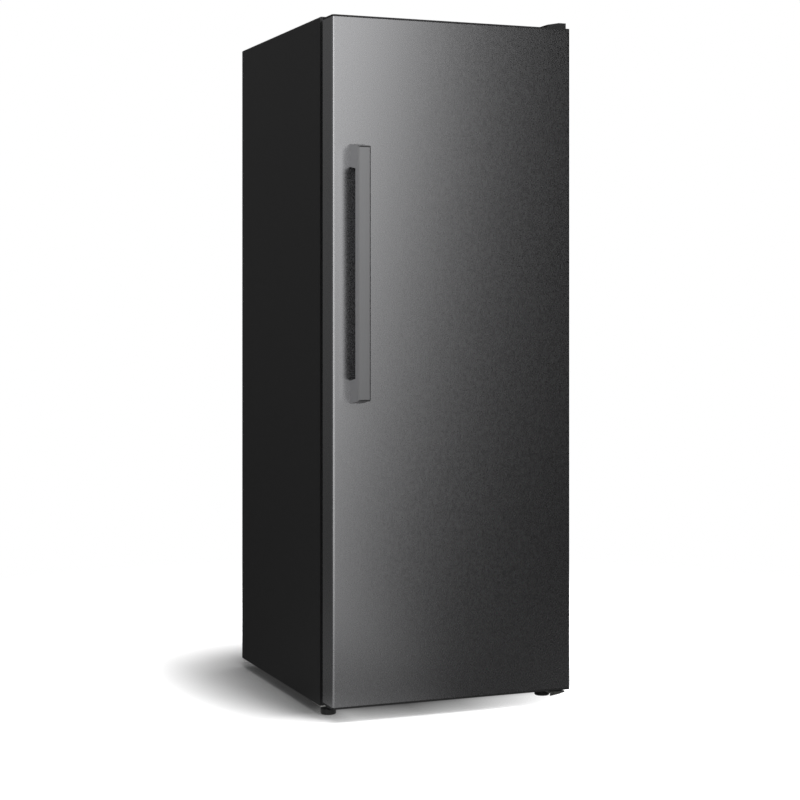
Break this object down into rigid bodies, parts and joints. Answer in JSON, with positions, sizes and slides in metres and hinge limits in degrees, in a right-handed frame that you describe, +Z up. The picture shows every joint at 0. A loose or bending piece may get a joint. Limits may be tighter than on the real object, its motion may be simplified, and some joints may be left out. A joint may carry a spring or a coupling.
{
  "type": "refrigerator",
  "caption": "Tall single-door refrigerator column with a vertical bar handle, glass shelves, a crisper drawer, door racks and a wire condenser.",
  "frame": {"origin": "on the floor under the middle of the bounding box", "axes": "+Z up; the door and handle face -Y; +X is the right side seen from the front, where the door hangs"},
  "size_m": [0.53, 0.699, 1.4275],
  "materials": {
    "outer_shell": "satin dark grey paint",
    "back_panel": "bare grey coated sheet",
    "base_pan": "satin dark grey paint",
    "machine_housing": "galvanised sheet",
    "foam": "hard foam, matt",
    "white_plastic": "satin white",
    "steel": "zinc-plated steel",
    "black_metal": "satin black paint",
    "rubber": "matt black",
    "black_plastic": "satin black",
    "copper": "bare drawn copper",
    "clear_plastic": "clear",
    "glass": "clear with a green edge",
    "aluminium": "bare sheet",
    "grey_plastic": "satin dark grey",
    "seal_grey": "soft grey",
    "door_sheet": "satin metallic grey",
    "handle_grey": "satin metallic grey"
  },
  "bodies": {
    "cabinet": {"outer_shell": "outer_shell", "cabinet_foam": "foam", "cabinet_liner": "white_plastic", "back_panel": "back_panel", "base_pan": "base_pan", "machine_housing": "machine_housing", "compressor_deck": "steel", "compressor": "black_metal", "compressor_mounts": "rubber", "compressor_bolts": "steel", "relay_cover": "black_plastic", "condenser_tube": "black_metal", "condenser_wires": "black_metal", "condenser_clips": "black_plastic", "filter_drier": "copper", "suction_pipe": "copper", "discharge_pipe": "copper", "capillary_tube": "copper", "drip_tray": "black_plastic", "drain_tube": "black_plastic", "evaporator_plate": "aluminium", "wall_spacers": "black_plastic", "control_housing": "white_plastic", "thermostat": "black_plastic", "lamp_board": "white_plastic", "lamp_cover": "clear_plastic", "glass_shelves": "glass", "crisper_cover": "glass", "shelf_trims": "white_plastic", "top_hinge": "steel", "top_hinge_screws": "steel", "hinge_cover": "grey_plastic", "hinge_hole_plugs": "grey_plastic", "bottom_hinge": "steel", "hinge_pin": "steel", "base_screws": "steel", "foot_plate": "steel", "hinge_washer": "grey_plastic", "roller_axles": "steel"},
    "door": {"door_skin": "door_sheet", "door_foam": "foam", "door_liner": "white_plastic", "door_top_cap": "grey_plastic", "door_bottom_cap": "grey_plastic", "door_seal": "seal_grey", "handle_bar": "handle_grey", "handle_posts": "handle_grey", "handle_screws": "steel", "hinge_bushes": "grey_plastic"},
    "control_knob": {"thermostat_knob": "white_plastic"},
    "drawer": {"crisper": "clear_plastic"},
    "lower_rack": {"rack_lower": "clear_plastic"},
    "middle_rack": {"rack_middle": "clear_plastic"},
    "upper_rack": {"rack_upper": "clear_plastic"},
    "bottle_shelf": {"bottle_rack": "clear_plastic"},
    "divider": {"bottle_divider": "clear_plastic"},
    "left_foot": {"foot_left": "black_plastic"},
    "right_foot": {"foot_right": "black_plastic"},
    "left_roller": {"roller_left": "black_plastic"},
    "right_roller": {"roller_right": "black_plastic"}
  },
  "joints": [
    {"name": "door_hinge", "type": "hinge", "parent": "cabinet", "child": "door", "pos_m": [0.251, -0.2705, 0], "axis": [0, 0, 1], "range_deg": [0, 130]},
    {"name": "knob_turn", "type": "hinge", "parent": "cabinet", "child": "control_knob", "pos_m": [0.08, -0.1655, 1.349], "axis": [0, -1, 0], "range_deg": [0, 270]},
    {"name": "drawer_slide", "type": "slide", "parent": "cabinet", "child": "drawer", "axis": [0, -1, 0], "range_m": [0, 0.035]},
    {"name": "lower_rack_lift", "type": "slide", "parent": "door", "child": "lower_rack", "axis": [0, 0, 1], "range_m": [0, 0.018]},
    {"name": "middle_rack_lift", "type": "slide", "parent": "door", "child": "middle_rack", "axis": [0, 0, 1], "range_m": [0, 0.018]},
    {"name": "upper_rack_lift", "type": "slide", "parent": "door", "child": "upper_rack", "axis": [0, 0, 1], "range_m": [0, 0.018]},
    {"name": "bottle_rack_lift", "type": "slide", "parent": "door", "child": "bottle_shelf", "axis": [0, 0, 1], "range_m": [0, 0.018]},
    {"name": "divider_slide", "type": "slide", "parent": "bottle_shelf", "child": "divider", "axis": [1, 0, 0], "range_m": [-0.1, 0.1]},
    {"name": "left_foot_screw", "type": "hinge", "parent": "cabinet", "child": "left_foot", "pos_m": [-0.2425, -0.2135, 0], "axis": [0, 0, 1], "range_deg": [-1080, 1080]},
    {"name": "right_foot_screw", "type": "hinge", "parent": "cabinet", "child": "right_foot", "pos_m": [0.2425, -0.2135, 0], "axis": [0, 0, 1], "range_deg": [-1080, 1080]},
    {"name": "left_roller_spin", "type": "hinge", "parent": "cabinet", "child": "left_roller", "pos_m": [-0.227, 0.2695, 0.02], "axis": [1, 0, 0], "continuous": true},
    {"name": "right_roller_spin", "type": "hinge", "parent": "cabinet", "child": "right_roller", "pos_m": [0.227, 0.2695, 0.02], "axis": [1, 0, 0], "continuous": true}
  ]
}
